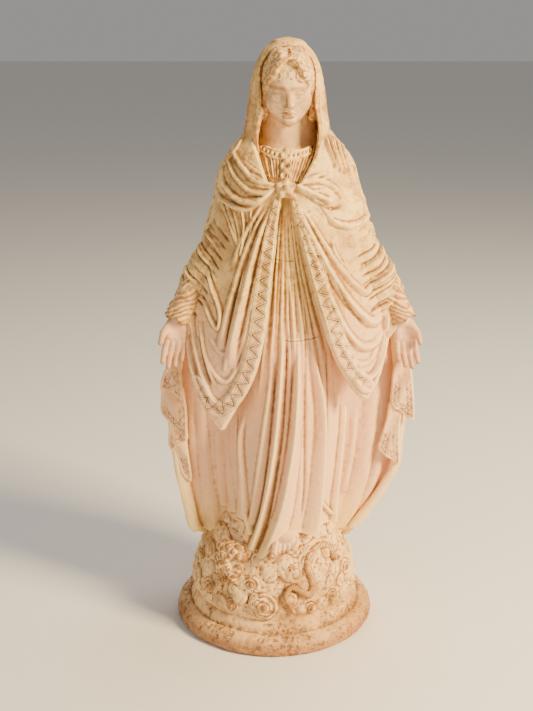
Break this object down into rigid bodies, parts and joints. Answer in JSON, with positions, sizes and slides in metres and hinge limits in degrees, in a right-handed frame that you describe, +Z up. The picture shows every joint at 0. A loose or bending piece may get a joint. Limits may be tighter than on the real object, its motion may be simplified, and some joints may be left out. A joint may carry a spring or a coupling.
{
  "type": "madonna statue",
  "caption": "Standing madonna in aged cream plaster, veiled and cloaked with open hands held low, on a cloud mound with a serpent and a round worn plinth.",
  "frame": {"origin": "centre of the plinth's flat underside, on the table", "axes": "+Z up through the figure, the figure faces -Y, +X to the viewer's right (the figure's left)"},
  "size_m": [0.1666, 0.139, 0.397],
  "materials": {
    "plaster": "matte",
    "skin_plaster": "matte",
    "hair_plaster": "matte",
    "border_plaster": "matte",
    "base_plaster": "matte",
    "worn_plaster": "matte",
    "steel": "satin"
  },
  "bodies": {
    "root": {"plinth": "worn_plaster", "cloud_mound": "base_plaster", "cloud_scrolls": "base_plaster", "cloud_tuft": "base_plaster", "serpent": "base_plaster", "right_foot": "skin_plaster", "gown": "plaster", "gown_yoke": "plaster", "collar": "plaster", "placket": "plaster", "brooch": "plaster", "cloak_back": "plaster", "right_cloak_front": "plaster", "left_cloak_front": "plaster", "right_border": "border_plaster", "left_border": "border_plaster", "right_shoulder_drape": "plaster", "left_shoulder_drape": "plaster", "right_cascade": "plaster", "left_cascade": "plaster", "right_sleeve": "plaster", "left_sleeve": "plaster", "right_hand": "skin_plaster", "left_hand": "skin_plaster", "right_wrist_pin": "steel", "left_wrist_pin": "steel", "head": "skin_plaster", "hair": "hair_plaster", "veil": "plaster", "neck_dowel": "steel", "armature_rod": "steel"}
  },
  "joints": []
}
